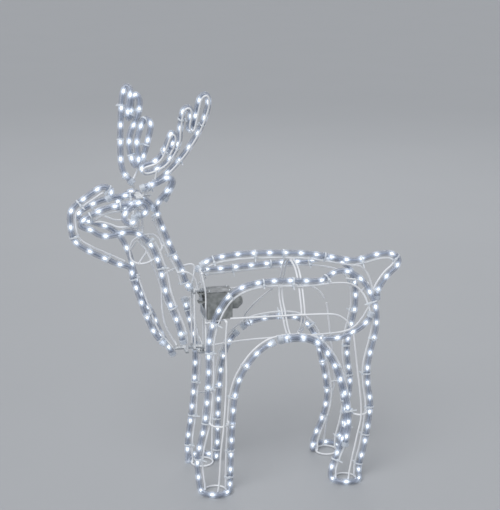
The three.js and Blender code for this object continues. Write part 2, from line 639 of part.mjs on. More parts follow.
add('rope_face_near', rope(smooth([...inPlane(FACE_TOP, -FLANK_Y), [-333, -FLANK_Y, 483], [-325, -FLANK_Y, 477],
  ...inPlane([[-314, 473], [-306, 467], [-296, 463], [-282, 463], [-268, 466], [-251, 467]], -FLANK_Y),
  ...inPlane(NECK_NEAR, -FLANK_Y)])), ROPE_CLEAR);

add('rope_profile', rope(smooth(inPlane([...PROFILE, ...THROAT], 0))), ROPE_CLEAR);

add('rope_face_far', rope(smooth([[-203, 20, 490], [-210, 25, 499], [-219, 28, 507], [-229, FLANK_Y, 511.5],
  ...inPlane(FACE_TOP, FLANK_Y), [-333, FLANK_Y, 483], [-322, 27, 478],
  ...inPlane([[-301, 471], [-290, 467], [-280, 462], [-270, 454], [-262, 445], [-256, 434]], 24),
  [-250, 20, 420], [-246, 18, 402], [-239, 17, 379], [-230, 16, 342], [-217, 16, 318], [-208, 17, 299],
  [-202, 18, 280], [-191, 18, 258], [-177, 18, 230]])), ROPE_CLEAR);

const EYE_CURL = [[-243, 35.5, 496], [-233, 36, 497], [-225.5, 38, 505], [-228, 39.5, 514],
  [-238, 40.5, 518.5], [-248, 41.5, 514], [-257, 42.5, 508], [-263.5, 44, 499], [-262, 45.5, 489.5],
  [-254, 47, 486], [-247.5, 48, 492], [-247, 48, 499]];
for (const [label, side] of SIDES) {
  add(`rope_eye_${label}`, rope(smooth(EYE_CURL.map(([x, y, z]) => [x, side * y, z]))), ROPE_CLEAR);
}

// ---------------------------------------------------------------- antlers
// Guide points are [x, z], with a third number where the rope is tucked in behind its neighbour.
// Each antler is one unbroken line of rope: a beam, a middle tine and a short tine.
const ANTLER_FAR = [[-241, 539], [-250, 549], [-257, 562], [-258, 577], [-258, 596], [-257, 614], [-255, 631],
  [-254, 645], [-252, 668], [-248.5, 685], [-243, 694.5, 2.5], [-237.8, 689, 6.5], [-240.5, 675, 10.5],
  [-242.5, 662, 11], [-244.5, 652, 11.5], [-243, 644, 8.5], [-239.2, 646.5, 4], [-238, 655, 2],
  [-236.5, 664, 1], [-234.5, 674], [-229, 680.5], [-223.5, 675], [-223, 664], [-225.5, 650], [-229.5, 640],
  [-236, 629], [-242, 613], [-243, 596], [-241, 582], [-239, 573, 1], [-234.5, 567.5, 4.5],
  [-230.5, 573, 8.5], [-231, 583, 10], [-232, 593, 9], [-231, 609, 9], [-226.5, 622, 8],
  [-220.5, 636, 5], [-214, 641, 1], [-207, 636], [-206.5, 626], [-211, 613], [-215, 597], [-220, 582],
  [-223.5, 573]];
const ANTLER_NEAR = [[-221, 535], [-210, 543], [-196, 553], [-181, 570], [-162, 590], [-152, 605], [-143, 620],
  [-136, 634], [-131, 648], [-126, 663], [-124, 680], [-127.5, 690, 2], [-134.5, 687, 5], [-138, 674, 7],
  [-141, 659, 8], [-144, 646, 9], [-148.5, 631, 6], [-154, 636, 1], [-153.8, 648], [-151.5, 661],
  [-156, 670.5], [-163, 667], [-165.5, 656], [-167, 644], [-169, 631], [-169, 618], [-174, 603], [-182, 588],
  [-193, 575], [-207, 567.5], [-218, 563.5], [-226, 564, 2.5], [-229, 568.5, 6], [-225, 573.5, 9],
  [-216, 576, 10], [-206, 580, 10], [-198, 588, 8], [-193.5, 600, 3], [-189, 612], [-185.5, 622],
  [-181.5, 628, 3.5], [-177, 622, 9], [-178, 610, 10.5], [-182, 600, 10.5], [-185.5, 593, 10.5]];

// The near or far plane of an antler, `outset` millimetres outside its rope.
function lean(guides, side, outset) {
  return guides.map(([x, z, tuck = 0]) => {
    const rise = Math.max(0, z - ANTLER_FOOT_Z);
    const inward = outset > 0 ? 0 : tuck;
    return [x, side * (ANTLER_FOOT_Y + ANTLER_LEAN * rise + outset - inward), z];
  });
}

const ANTLERS = [
  ['far', 1, ANTLER_FAR, -236.5, [[-241, 539], [-232, 555], [-223.5, 573]]],
  ['near', -1, ANTLER_NEAR, -231, [[-210, 543], [-207, 567.5]]],
];
const ANTLER_WIRE_OUT = ROPE_LIE - 0.4;
for (const [label, side, route, footX, strut] of ANTLERS) {
  add(`rope_antler_${label}`, rope(smooth(lean(route, side, 0))), ROPE_CLEAR);
  const foot = [footX, side * (ANTLER_FOOT_Y + ANTLER_WIRE_OUT), 523.8];
  add(`antler_frame_${label}`, join(
    wire(smooth([foot, ...lean(route, side, ANTLER_WIRE_OUT)])),
    wire(smooth(lean(strut, side, ANTLER_WIRE_OUT))),
  ), COATED_WIRE);
}

// ---------------------------------------------------------------- rope ends
// A cup pushed over a rope end. `back` points from the closed end along the rope.
function cap(at, back) {
  const inner = ROPE_RADIUS + 0.4;
  const outer = inner + 0.9;
  const depth = 11;
  const profileLine = [[0, -1.8], [outer, -1.8], [outer, depth], [inner, depth], [inner, -0.4], [0, -0.4]];
  const geometry = new THREE.LatheGeometry(profileLine.map(([r, h]) => new THREE.Vector2(r, h)), 16);
  const along = new THREE.Vector3(...back).normalize();
  geometry.applyQuaternion(new THREE.Quaternion().setFromUnitVectors(new THREE.Vector3(0, 1, 0), along));
  geometry.translate(...at);
  return geometry;
}
add('rope_cap_nape', cap([-149, 0, 354], [-6, 0, 10]), CAP_PLASTIC);

// The origin is the middle of the outline at ground level.
const outline = new THREE.Box3().setFromObject(group);
const middle = outline.getCenter(new THREE.Vector3());
for (const mesh of group.children) {
  mesh.geometry.translate(-middle.x, -middle.y, -outline.min.z);
}

export default group;
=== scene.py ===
"""Looks of the light up yard reindeer: clear rope light tied to a white coated wire frame."""

import math
import random

import bmesh
import bpy
import numpy as np
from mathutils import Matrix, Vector
from mathutils.kdtree import KDTree


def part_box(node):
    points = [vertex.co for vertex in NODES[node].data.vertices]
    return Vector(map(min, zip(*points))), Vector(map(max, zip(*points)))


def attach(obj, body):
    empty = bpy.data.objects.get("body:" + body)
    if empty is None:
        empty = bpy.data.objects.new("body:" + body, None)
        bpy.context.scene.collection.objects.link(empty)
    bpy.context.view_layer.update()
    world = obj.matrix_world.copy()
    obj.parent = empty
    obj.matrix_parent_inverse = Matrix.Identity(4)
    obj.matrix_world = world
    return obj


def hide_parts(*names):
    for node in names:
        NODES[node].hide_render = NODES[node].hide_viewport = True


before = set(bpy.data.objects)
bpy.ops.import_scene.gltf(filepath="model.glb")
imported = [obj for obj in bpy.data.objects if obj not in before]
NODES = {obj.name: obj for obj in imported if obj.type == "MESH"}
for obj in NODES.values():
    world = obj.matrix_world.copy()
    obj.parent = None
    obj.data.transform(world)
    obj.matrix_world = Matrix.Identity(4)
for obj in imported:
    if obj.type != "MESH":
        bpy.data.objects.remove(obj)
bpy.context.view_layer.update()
rng = random.Random(7)

MM = 0.001
WIRE_RADIUS = 1.7
ROPE_RADIUS = 5.2
ROPE_LIE = 8.8  # from the centre line of a rope to the wire beside it
LAMP_PITCH = 27.8
CORE_RADIUS = 1.9
SIDE_Y = 60.0  # the planes of the two side frames

# Sides of the swept solids in CAD, and of the rounder tubes that stand for them here.
CAD_WIRE_SIDES = 6
CAD_ROPE_SIDES = 8
WIRE_SIDES = 10
ROPE_SIDES = 16
DETAIL_SIDES = 10

WIRE_STEP = 3.5
ROPE_STEP = 3.0
SPINE_STEP = 2.5
ANTLER_STEP = 5.0

# Tolerances for reading the CAD meshes: metres, radians and a share of the area.
SAME_POINT = 1e-5
FLAT_ANGLE = 0.002
AREA_SLACK = 0.05

SHARP_ANGLE = math.radians(50)
NEARLY_UPRIGHT = 0.2
CAP_UV = (0.02, 0.5)  # far from the middle of a pitch, so an end face stays dim

# The CAD source measures x from its own zero: the hinge tongue of the motor case starts here.
CASE_TONGUE_X = -136.1
SHIFT = np.array([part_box("motor_case")[0].x / MM - CASE_TONGUE_X, 0.0, 0.0])


# ------------------------------------------------------------------ lines
def at(*guides):
    """Guide points of the CAD source, as an array in the row frame, in millimetres."""
    return np.array(guides, float) + SHIFT


def resample(points, step, closed=False):
    """A centripetal Catmull-Rom line through the points, cut into even steps of about `step`."""
    points = np.asarray(points, float)
    if closed:
        ring = np.vstack([points[-1:], points, points[:2]])
    else:
        ring = np.vstack([2 * points[0] - points[1], points, 2 * points[-1] - points[-2]])
    dense = []
    for p0, p1, p2, p3 in zip(ring[:-3], ring[1:-2], ring[2:-1], ring[3:]):
        t1 = np.linalg.norm(p1 - p0) ** 0.5
        t2 = t1 + np.linalg.norm(p2 - p1) ** 0.5
        t3 = t2 + np.linalg.norm(p3 - p2) ** 0.5
        count = max(4, int(np.linalg.norm(p2 - p1)))
        for t in np.linspace(t1, t2, count, endpoint=False):
            a1 = (t1 - t) / t1 * p0 + t / t1 * p1
            a2 = (t2 - t) / (t2 - t1) * p1 + (t - t1) / (t2 - t1) * p2
            a3 = (t3 - t) / (t3 - t2) * p2 + (t - t2) / (t3 - t2) * p3
            b1 = (t2 - t) / t2 * a1 + t / t2 * a2
            b2 = (t3 - t) / (t3 - t1) * a2 + (t - t1) / (t3 - t1) * a3
            dense.append((t2 - t) / (t2 - t1) * b1 + (t - t1) / (t2 - t1) * b2)
    dense.append(points[0] if closed else points[-1])
    dense = np.array(dense)
    along = np.concatenate([[0], np.cumsum(np.linalg.norm(np.diff(dense, axis=0), axis=1))])
    count = max(3, int(round(along[-1] / step)) + 1)
    marks = np.linspace(0, along[-1], count)
    line = np.stack([np.interp(marks, along, dense[:, k]) for k in range(3)], axis=1)
    return line[:-1] if closed else line


def rounded(vertex):
    return tuple(round(c, 6) for c in vertex.co)


def centre_line(node, sides):
    """The vertices of the line that a swept CAD node follows, found ring by ring from one end face."""
    work = bmesh.new()
    work.from_mesh(NODES[node].data)
    bmesh.ops.remove_doubles(work, verts=work.verts, dist=SAME_POINT)
    work.verts.ensure_lookup_table()
    radius = (ROPE_RADIUS if sides == CAD_ROPE_SIDES else WIRE_RADIUS) * MM
    end_area = sides / 2 * radius ** 2 * math.sin(2 * math.pi / sides)
    flat = work.copy()
    flat.verts.ensure_lookup_table()
    index = {rounded(v): v.index for v in work.verts}
    bmesh.ops.dissolve_limit(flat, angle_limit=FLAT_ANGLE, verts=flat.verts, edges=flat.edges)
    ends = [f for f in flat.faces
            if len(f.verts) == sides and abs(f.calc_area() / end_area - 1) < AREA_SLACK]
    level = {index[rounded(v)] for v in ends[0].verts}
    seen = set(level)
    line = []
    while level:
        line.append(np.mean([work.verts[i].co for i in level], axis=0) / MM)
        following = {e.other_vert(work.verts[i]).index
                     for i in level for e in work.verts[i].link_edges}
        level = following - seen
        seen |= level
    flat.free()
    work.free()
    return np.array(line)


def beside(line, distance):
    """The line that lies `distance` to the left of another, seen with X right and Z up."""
    step = np.gradient(line, axis=0)
    length = np.hypot(step[:, 0], step[:, 2])
    shifted = line.copy()
    shifted[:, 0] -= step[:, 2] / length * distance
    shifted[:, 2] += step[:, 0] / length * distance
    return shifted


def arc_length(line):
    return np.concatenate([[0], np.cumsum(np.linalg.norm(np.diff(line, axis=0), axis=1))])


def point_at(line, distance):
    """Point and unit tangent at a distance along a line."""
    along = arc_length(line)
    point = np.array([np.interp(distance, along, line[:, k]) for k in range(3)])
    ahead = np.array([np.interp(min(distance + 1, along[-1]), along, line[:, k]) for k in range(3)])
    behind = np.array([np.interp(max(distance - 1, 0), along, line[:, k]) for k in range(3)])
    return point, (ahead - behind) / np.linalg.norm(ahead - behind)


# ------------------------------------------------------------------ meshes
class Build:
    """Collects vertices and faces of one piece, in millimetres."""

    def __init__(self):
        self.verts = []
        self.faces = []
        self.uvs = []

    def add(self, verts, faces, uvs=None):
        base = len(self.verts)
        self.verts.extend(tuple(float(c) for c in v) for v in verts)
        for k, face in enumerate(faces):
            self.faces.append([base + i for i in face])
            self.uvs.append(uvs[k] if uvs else [(0.0, 0.0)] * len(face))

    def tube(self, line, radii, sides, closed=False, start=0.0):
        """A round tube along a line. UV u counts lamp pitches along it and v goes once round."""
        count = len(line)
        radii = np.broadcast_to(radii, (count,))
        if closed:
            tangent = np.roll(line, -1, axis=0) - np.roll(line, 1, axis=0)
        else:
            tangent = np.gradient(line, axis=0)
        tangent /= np.linalg.norm(tangent, axis=1)[:, None]
        side = np.cross(tangent[0], [0.0, 0.0, 1.0])
        if np.linalg.norm(side) < NEARLY_UPRIGHT:
            side = np.cross(tangent[0], [0.0, 1.0, 0.0])
        side /= np.linalg.norm(side)
        frames = []
        for t in tangent:
            side = side - t * side.dot(t)
            side /= np.linalg.norm(side)
            frames.append((side.copy(), np.cross(t, side)))
        if closed:
            first, last = frames[0], frames[-1]
            twist = math.atan2(last[0].dot(first[1]), last[0].dot(first[0]))
        else:
            twist = 0.0
        verts, faces, uvs = [], [], []
        for i, (p, (a, b)) in enumerate(zip(line, frames)):
            turn = -twist * i / count
            for k in range(sides):
                angle = 2 * math.pi * k / sides + turn
                verts.append(p + radii[i] * (math.cos(angle) * a + math.sin(angle) * b))
        along = arc_length(np.vstack([line, line[:1]]) if closed else line) + start
        for i in range(count if closed else count - 1):
            j = (i + 1) % count
            u0, u1 = along[i] / LAMP_PITCH, along[i + 1] / LAMP_PITCH
            for k in range(sides):
                n = (k + 1) % sides
                faces.append([i * sides + k, i * sides + n, j * sides + n, j * sides + k])
                v0, v1 = k / sides, (k + 1) / sides
                uvs.append([(u0, v0), (u0, v1), (u1, v1), (u1, v0)])
        if not closed:
            faces.append(list(range(sides))[::-1])
            uvs.append([CAP_UV] * sides)
            faces.append([(count - 1) * sides + k for k in range(sides)])
            uvs.append([CAP_UV] * sides)
        self.add(verts, faces, uvs)

    def revolve(self, origin, axis, profile, sides):
        """A turned solid: profile is (distance along the axis, radius) pairs; radius 0 closes it."""
        axis = np.asarray(axis, float) / np.linalg.norm(axis)
        a = np.cross(axis, [0.3, 0.2, 1.0])
        a /= np.linalg.norm(a)
        b = np.cross(axis, a)
        verts, rings = [], []
        for h, r in profile:
            if r < 1e-9:
                rings.append([len(verts)])
                verts.append(origin + axis * h)
            else:
                rings.append(list(range(len(verts), len(verts) + sides)))
                for k in range(sides):
                    angle = 2 * math.pi * k / sides
                    verts.append(origin + axis * h + r * (math.cos(angle) * a + math.sin(angle) * b))
        faces = []
        for low, high in zip(rings[:-1], rings[1:]):
            for k in range(sides):
                n = (k + 1) % sides
                if len(low) == 1 and len(high) == 1:
                    continue
                if len(low) == 1:
                    faces.append([low[0], high[n], high[k]])
                elif len(high) == 1:
                    faces.append([low[k], low[n], high[0]])
                else:
                    faces.append([low[k], low[n], high[n], high[k]])
        self.add(verts, faces)

    def slab(self, centre, along, across, size, chamfer):
        """A small block with chamfered long edges; size is (length, width, height)."""
        along = np.asarray(along, float) / np.linalg.norm(along)
        across = np.asarray(across, float) - along * np.dot(across, along)
        across /= np.linalg.norm(across)
        up = np.cross(along, across)
        length, width, height = size
        w, h, c = width / 2, height / 2, chamfer
        outline = [(-w + c, -h), (w - c, -h), (w, -h + c), (w, h - c),
                   (w - c, h), (-w + c, h), (-w, h - c), (-w, -h + c)]
        verts, faces = [], []
        end, narrow = length / 2, 0.72
        stations = [(-end, narrow), (-end + c, 1.0), (end - c, 1.0), (end, narrow)]
        for x, scale in stations:
            for a, b in outline:
                verts.append(centre + along * x + across * a * scale + up * b * scale)
        n = len(outline)
        for s in range(len(stations) - 1):
            for k in range(n):
                m = (k + 1) % n
                faces.append([s * n + k, s * n + m, (s + 1) * n + m, (s + 1) * n + k])
        faces.append(list(range(n))[::-1])
        faces.append([(len(stations) - 1) * n + k for k in range(n)])
        self.add(verts, faces)

    def object(self, name, look, smooth=True):
        mesh = bpy.data.meshes.new(name)
        mesh.from_pydata([tuple(c * MM for c in v) for v in self.verts], [], self.faces)
        layer = mesh.uv_layers.new(name="UVMap")
        flat = [c for face in self.uvs for uv in face for c in uv]
        layer.data.foreach_set("uv", flat)
        mesh.materials.append(look)
        mesh.polygons.foreach_set("use_smooth", [smooth] * len(mesh.polygons))
        mesh.update()
        made = bpy.data.objects.new(name, mesh)
        bpy.context.scene.collection.objects.link(made)
        work = bmesh.new()
        work.from_mesh(mesh)
        bmesh.ops.recalc_face_normals(work, faces=work.faces)
        work.to_mesh(mesh)
        work.free()
        if smooth:
            mesh.set_sharp_from_angle(angle=SHARP_ANGLE)
        return made


def place(made, body, slot, *nodes):
    """Rides a piece on a body and hides the CAD nodes it stands for; slot is not used."""
    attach(made, body)
    if nodes:
        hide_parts(*nodes)
    return made


# ------------------------------------------------------------------ materials
GLOW_REACH = 0.36  # share of a pitch, either way from the lamp
GLOW_FALLOFF = 1.6


class Look:
    """A Principled material with procedural variation of colour, roughness and bump."""

    def __init__(self, name, colour, roughness, metallic=0.0):
        self.material = bpy.data.materials.new(name)
        self.material.use_nodes = True
        self.nodes = self.material.node_tree.nodes
        self.links = self.material.node_tree.links
        self.shader = next(n for n in self.nodes if n.type == "BSDF_PRINCIPLED")
        self.shader.inputs["Base Color"].default_value = (*colour, 1)
        self.shader.inputs["Roughness"].default_value = roughness
        self.shader.inputs["Metallic"].default_value = metallic
        self.coords = self.nodes.new("ShaderNodeTexCoord")

    def noise(self, scale, detail=4.0):
        texture = self.nodes.new("ShaderNodeTexNoise")
        texture.inputs["Scale"].default_value = scale
        texture.inputs["Detail"].default_value = detail
        self.links.new(self.coords.outputs["Object"], texture.inputs["Vector"])
        return texture.outputs["Fac"]

    def colours(self, source, low, high, start=0.3, end=0.7):
        ramp = self.nodes.new("ShaderNodeValToRGB")
        ramp.color_ramp.elements[0].position = start
        ramp.color_ramp.elements[0].color = (*low, 1)
        ramp.color_ramp.elements[1].position = end
        ramp.color_ramp.elements[1].color = (*high, 1)
        self.links.new(source, ramp.inputs["Fac"])
        self.links.new(ramp.outputs["Color"], self.shader.inputs["Base Color"])

    def rough(self, source, low, high):
        spread = self.nodes.new("ShaderNodeMapRange")
        spread.inputs["From Min"].default_value = 0.3
        spread.inputs["From Max"].default_value = 0.7
        spread.inputs["To Min"].default_value = low
        spread.inputs["To Max"].default_value = high
        self.links.new(source, spread.inputs["Value"])
        self.links.new(spread.outputs["Result"], self.shader.inputs["Roughness"])

    def bump(self, source, strength, distance):
        bump = self.nodes.new("ShaderNodeBump")
        bump.inputs["Strength"].default_value = strength
        bump.inputs["Distance"].default_value = distance
        self.links.new(source, bump.inputs["Height"])
        self.links.new(bump.outputs["Normal"], self.shader.inputs["Normal"])

    def math(self, operation, first, second=None):
        node = self.nodes.new("ShaderNodeMath")
        node.operation = operation
        for socket, value in zip(node.inputs, (first, second)):
            if value is None:
                continue
            if isinstance(value, (int, float)):
                socket.default_value = value
            else:
                self.links.new(value, socket)
        return node.outputs[0]

    def lamp_glow(self, peak, floor=0.0):
        """Light that peaks where each lamp sits, at the middle of every pitch along the rope."""
        split = self.nodes.new("ShaderNodeSeparateXYZ")
        self.links.new(self.coords.outputs["UV"], split.inputs["Vector"])
        in_pitch = self.math("FRACT", split.outputs["X"])
        offset = self.math("ABSOLUTE", self.math("SUBTRACT", in_pitch, 0.5))
        near = self.nodes.new("ShaderNodeMapRange")
        near.interpolation_type = "SMOOTHSTEP"
        near.inputs["From Min"].default_value = 0.0
        near.inputs["From Max"].default_value = GLOW_REACH
        near.inputs["To Min"].default_value = 1.0
        near.inputs["To Max"].default_value = 0.0
        self.links.new(offset, near.inputs["Value"])
        shaped = self.math("POWER", near.outputs["Result"], GLOW_FALLOFF)
        strength = self.math("ADD", self.math("MULTIPLY", shaped, peak), floor)
        self.links.new(strength, self.shader.inputs["Emission Strength"])
        return split


def coated_wire():
    look = Look("coated_wire", (0.62, 0.64, 0.67), 0.35)
    look.colours(look.noise(45.0), (0.74, 0.755, 0.78), (0.86, 0.87, 0.885))
    look.rough(look.noise(160.0), 0.26, 0.48)
    look.bump(look.noise(900.0, 2.0), 0.12, 0.0003)
    return look.material


def rope_jacket():
    look = Look("rope_jacket", (0.72, 0.8, 0.92), 0.12)
    look.colours(look.noise(60.0), (0.30, 0.34, 0.42), (0.46, 0.50, 0.59))
    look.rough(look.noise(220.0), 0.05, 0.16)
    look.bump(look.noise(320.0, 2.0), 0.1, 0.0004)
    look.shader.inputs["Alpha"].default_value = 0.4
    look.shader.inputs["IOR"].default_value = 1.53
    look.shader.inputs["Emission Color"].default_value = (0.72, 0.84, 1.0, 1)
    look.lamp_glow(peak=0.42)
    return look.material


def rope_core():
    look = Look("rope_core", (0.5, 0.57, 0.7), 0.4)
    split = look.lamp_glow(peak=1.5, floor=0.02)
    look.shader.inputs["Emission Color"].default_value = (0.78, 0.87, 1.0, 1)
    round_turn = look.math("MULTIPLY", split.outputs["Y"], 2 * math.pi)
    streak = look.math("ABSOLUTE", look.math("SINE", round_turn))
    look.colours(streak, (0.16, 0.19, 0.25), (0.42, 0.48, 0.6), 0.18, 0.5)
    look.bump(look.noise(400.0), 0.15, 0.0003)
    return look.material


def lamp():
    look = Look("lamp", (0.95, 0.97, 1.0), 0.25)
    look.colours(look.noise(500.0), (0.92, 0.95, 1.0), (1.0, 1.0, 1.0))
    look.shader.inputs["Emission Color"].default_value = (0.9, 0.95, 1.0, 1)
    look.shader.inputs["Emission Strength"].default_value = 1.7
    return look.material


def clear_cap():
    look = Look("clear_cap", (0.82, 0.87, 0.93), 0.25)
    look.colours(look.noise(150.0), (0.74, 0.8, 0.88), (0.9, 0.94, 0.98))
    look.rough(look.noise(300.0), 0.18, 0.36)
    look.bump(look.noise(700.0), 0.08, 0.0003)
    look.shader.inputs["Alpha"].default_value = 0.42
    return look.material


def tie_nylon():
    look = Look("tie_nylon", (0.8, 0.84, 0.88), 0.35)
    look.colours(look.noise(200.0), (0.72, 0.77, 0.83), (0.9, 0.93, 0.96))
    look.rough(look.noise(400.0), 0.28, 0.45)
    look.shader.inputs["Alpha"].default_value = 0.8
    return look.material


def moulded(name, dark, light, roughness, patches=70.0):
    look = Look(name, light, roughness)
    look.colours(look.noise(patches, 6.0), dark, light, 0.35, 0.65)
    look.rough(look.noise(180.0), roughness - 0.08, roughness + 0.1)
    look.bump(look.noise(1400.0, 3.0), 0.25, 0.0003)
    return look.material


def zinc():
    look = Look("zinc", (0.62, 0.64, 0.66), 0.32, 0.9)
    look.colours(look.noise(90.0, 5.0), (0.42, 0.44, 0.46), (0.62, 0.64, 0.66))
    look.rough(look.noise(260.0), 0.24, 0.46)
    look.bump(look.noise(800.0, 3.0), 0.12, 0.0002)
    return look.material


def floor_paint():
    look = Look("floor_paint", (0.62, 0.63, 0.65), 0.6)
    look.colours(look.noise(3.0, 3.0), (0.386, 0.396, 0.41), (0.392, 0.402, 0.416))
    return look.material


WIRE = coated_wire()
JACKET = rope_jacket()
CORE = rope_core()
LAMP = lamp()
CAP = clear_cap()
TIE = tie_nylon()
MOTTLE = 110.0
CASE = moulded("case_plastic", (0.165, 0.175, 0.172), (0.31, 0.322, 0.318), 0.5, MOTTLE)
LID = moulded("lid_plastic", (0.165, 0.172, 0.176), (0.3, 0.31, 0.318), 0.45, MOTTLE)
ACETAL = moulded("acetal", (0.62, 0.6, 0.54), (0.74, 0.72, 0.66), 0.4)
NYLON_BLACK = moulded("nylon_black", (0.02, 0.02, 0.022), (0.05, 0.05, 0.055), 0.45)
ZINC = zinc()
CAN = moulded("motor_can", (0.18, 0.19, 0.186), (0.34, 0.352, 0.348), 0.45, MOTTLE)

# ------------------------------------------------------------------ wires
lines = {"body": [], "neck_head": []}


def wires(name, body, routes, *nodes):
    """One piece made of the round wires that follow the routes; a route is (points, closed)."""
    made = Build()
    for points, closed in routes:
        line = resample(points, WIRE_STEP, closed)
        made.tube(line, WIRE_RADIUS, WIRE_SIDES, closed)
        lines[body].append(np.vstack([line, line[:1]]) if closed else line)
    place(made.object(name, WIRE), body, "coated_wire", *nodes)


swept = {
    "body": ["arch_wire_near", "arch_wire_far", "side_wire_near", "side_wire_far", "fore_wire_far",
             "waist_wire_near", "waist_wire_far", "belly_wire", "rump_hoop", "chest_stay_near",
             "chest_stay_far", "motor_brace"],
    "neck_head": ["neck_post_near", "neck_hoop_far", "neck_brace", "nape_wire", "throat_wire",
                  "neck_wire_near", "neck_wire_far", "head_profile_wire"],
}
for body, names in swept.items():
    for node in names:
        wires(f"round_{node}", body, [(centre_line(node, CAD_WIRE_SIDES), False)], node)


FOOT_RADIUS = 19.5
FOOT_JOIN_Y = 78.6  # where the outer leg wire starts on the foot ring
CAGE_Y = 82.0
KNEE_Z = 130.0
KNEE_Y = 62.4
KNEE_REACH = 18.4
RING_STEPS = 36
KNEE_STEPS = 9

# Each leg cage: its end, the x of its foot, its outer wire, and the middle and half width of its knee hoop.
CAGES = [
    ("front", -120, [(-117, 79, 24), (-114, CAGE_Y, 83), (-109, CAGE_Y, KNEE_Z), (-104, CAGE_Y, 216),
                     (-105, CAGE_Y, 285), (-103, CAGE_Y, 317)], -112.8, 16.4),
    ("rear", 115, [(117, 79, 24), (128, CAGE_Y, 91), (134.5, CAGE_Y, KNEE_Z), (124, CAGE_Y, 226),
                   (116.5, CAGE_Y, 283)], 135.2, 14.2),
]


def circle(cx, cy, z, radius):
    angles = np.linspace(0, 2 * math.pi, RING_STEPS, endpoint=False)
    x, y = cx + radius * np.cos(angles), cy + radius * np.sin(angles)
    return np.stack([x, y, np.full(RING_STEPS, z)], axis=1)


for label, side in (("near", -1), ("far", 1)):
    for end, foot_x, outer, knee_x, knee_half in CAGES:
        ring = circle(foot_x, side * SIDE_Y, WIRE_RADIUS, FOOT_RADIUS) + SHIFT
        foot = (foot_x, side * FOOT_JOIN_Y, WIRE_RADIUS)
        rise = at(foot, *[(x, side * y, z) for x, y, z in outer])
        knee = at(*[(knee_x - knee_half * math.cos(a), side * (KNEE_Y + KNEE_REACH * math.sin(a)), KNEE_Z)
                    for a in np.linspace(0, math.pi, KNEE_STEPS)])
        routes = [(ring, True), (rise, False), (knee, False)]
        wires(f"cage_{end}_{label}", "body", routes, f"leg_cage_{end}_{label}")



def share(line, low, high):
    """The stretch of a line between two shares of its points."""
    last = len(line) - 1
    return line[round(low * last):round(high * last)]


spine = resample(centre_line("rope_spine", CAD_ROPE_SIDES), SPINE_STEP)
if spine[0][0] > spine[-1][0]:
    spine = spine[::-1]
inner = beside(spine, -ROPE_LIE)
front_part = share(inner, 0.02, 0.615)
tail_part = share(inner, 0.62, 0.965)
rump_line = at((152, 0, 374), (163, 0, 363), (170, 0, 349), (175, 0, 330), (175, 0, 309))
wires("spine_and_tail", "body", [
    (np.vstack([front_part[::8], rump_line]), False),
    (np.vstack([at((150, 0, 375.5)), tail_part[::6], at((174.8, 0, 322))]), False),
], "spine_wire")

# Half of one rib oval, as (y, z), and the x of the two ovals that stand side by side.
RIB = [(0, 393), (30, 388), (49, 373), (65, 349), (77, 320),
       (72, 298), (56, 282.5), (45, 270), (26, 255), (0, 250)]
RIB_X = (26.2, 31.8)
rib_routes = []
for x in RIB_X:
    half = [(x, y, z) for y, z in RIB]
    other = [(x, -y, z) for y, z in RIB[1:-1]][::-1]
    rib_routes.append((at(*half, *other), True))
for y, z in ((0, 393), (-77, 320), (77, 320), (0, 250)):
    rib_routes.append((at(*[(x, y, z) for x in (RIB_X[0], sum(RIB_X) / 2, RIB_X[1])]), False))
wires("rib_pair", "body", rib_routes, "rib_hoop")

CHEST_POST = [(-125, 12, 243), (-125, 12, 300), (-125, 12, 350), (-129, 11, 372), (-131, 9, 385)]
wires("chest_frame", "body", [
    *[(at(*[(x, s * y, z) for x, y, z in CHEST_POST]), False) for s in (-1, 1)],
    (at((-130.6, -10, 383), (-130.6, 0, 383), (-130.6, 10, 383)), False),
    (at((-123, -57.2, 243), (-125, -12, 243), (-125, 12, 243), (-123, 57.2, 243)), False),
], "chest_posts")

RING = [(-250, 0, 421), (-250, -2, 418), (-247, -6, 411), (-234, -15, 408), (-218, -19.5, 413),
        (-206, -14, 420), (-198, -5, 428), (-195.8, 0, 431.2), (-196.5, 5, 435), (-200, 14, 443),
        (-208, 19.5, 447.5), (-225, 19.5, 447), (-243, 12, 441), (-250, 4, 428)]
wires("neck_loop", "neck_head", [
    (at(*RING), True),
    (at((-250, 3, 427), (-244, -3.5, 437), (-239, -9.5, 446), (-237, -10.3, 445.5), (-231, -11.5, 438),
        (-224, -13, 429), (-230.5, -13.5, 419), (-237, -14, 408.8)), False),
    (at((-224, -13, 429), (-220.5, -16, 421.2), (-217, -19, 413.4)), False),
    (at((-214, 19.5, 447.4), (-218, 18.3, 440.7), (-222, 17, 434)), False),
], "neck_ring")

CHEEK_Y = 24
for label, side in (("near", -1), ("far", 1)):
    y = side * CHEEK_Y
    loop = [(-242, 504), (-268, 502), (-292, 498), (-306, 492), (-312, 487), (-299, 486), (-284, 481),
            (-272, 475.5), (-256, 474.5), (-243, 473)]
    wires(f"cheek_{label}", "neck_head", [
        (at(*[(x, y, z) for x, z in loop]), False),
        (at((-239.5, y, 469), (-239.5, y, 488), (-239.5, y, 507)), False),
        (at((-231.5, y, 464), (-231.5, y, 490), (-231.5, y - side * 0.6, 503),
            (-231.5, y - side * 8, 518.3)), False),
        (at((-249, side * 23, 473.5), (-250, side * 32, 475.8), (-251, side * 41.2, 478.2)), False),
        (at((-244, y, 504), (-236, y, 504), (-229, y, 504)), False),
        (at((-245, y, 473), (-237, y, 473), (-229.5, y, 473)), False),
    ], f"head_side_wire_{label}")

# The wire of each antler runs just outside its rope, in one leaning plane.
ANTLER_Y = 22.4
ANTLER_FOOT_Z = 523.8
LEAN_FROM_Z = 540
LEAN = 0.2
ANTLER_FRAMES = [
    ("far", 1, -236.5, [(-241, 539), (-232, 555), (-223.5, 573)]),
    ("near", -1, -231, [(-210, 543), (-208.5, 555), (-207, 567.5)]),
]


